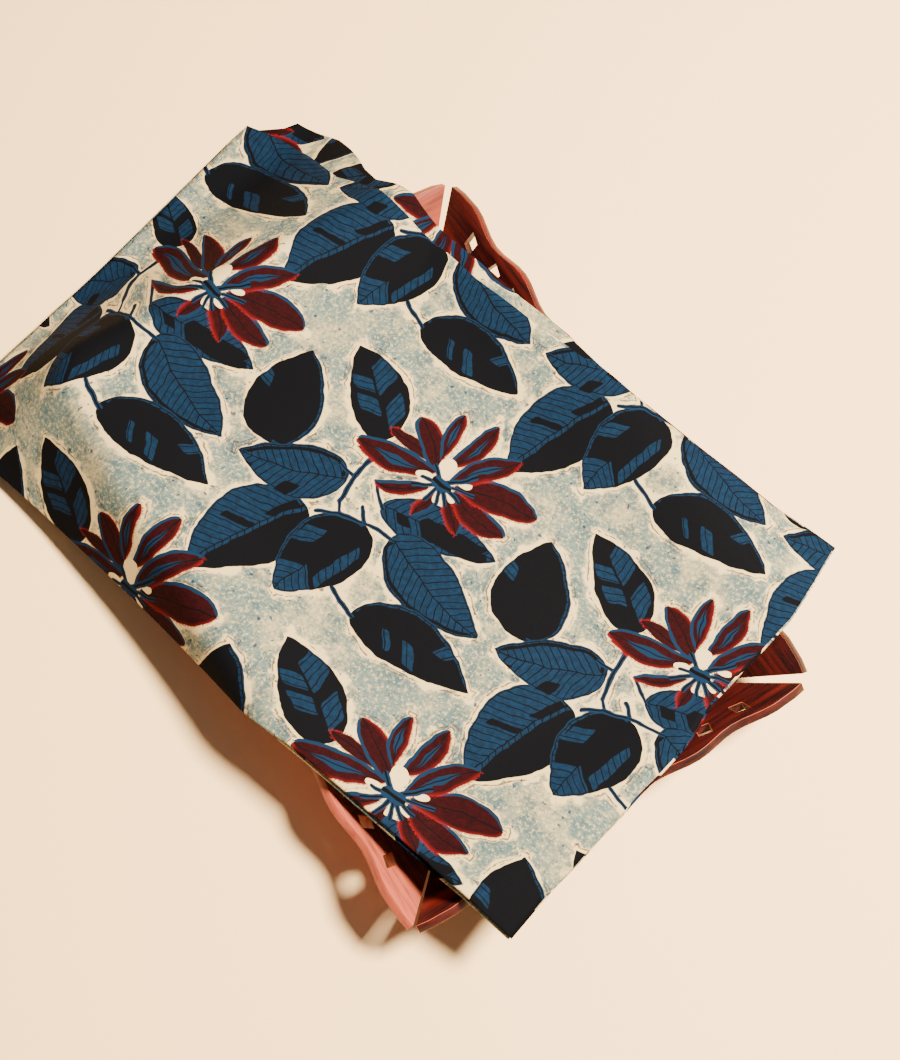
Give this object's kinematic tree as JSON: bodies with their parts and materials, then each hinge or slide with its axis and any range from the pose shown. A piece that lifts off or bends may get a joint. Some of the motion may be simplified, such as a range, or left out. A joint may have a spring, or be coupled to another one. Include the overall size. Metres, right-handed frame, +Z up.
{
  "type": "block-printed silk fabric folded over a wooden tray",
  "caption": "Length of block-printed silk folded into layers and laid over a low wooden tray with flared, wavy-rimmed sides, one end falling to the floor.",
  "frame": {"origin": "middle of the tray's underside, on the surface that it stands on", "axes": "+X along the folded cloth's long edges, away from the end that falls to the floor; +Y across the folded cloth, towards the side with the free edge; +Z up"},
  "size_m": [0.5094, 0.3656, 0.06],
  "materials": {
    "printed_silk": "soft lustrous plain weave with a hand block print of indigo, black and madder red on a mottled grey-green ground",
    "carved_wood": "red-brown hardwood, satin polish, lighter where the edges are worn"
  },
  "bodies": {
    "root": {"folded_cloth": "printed_silk", "tray_base": "carved_wood", "tray_wall_back": "carved_wood", "tray_wall_front": "carved_wood", "tray_wall_left": "carved_wood", "tray_wall_right": "carved_wood"}
  },
  "joints": []
}
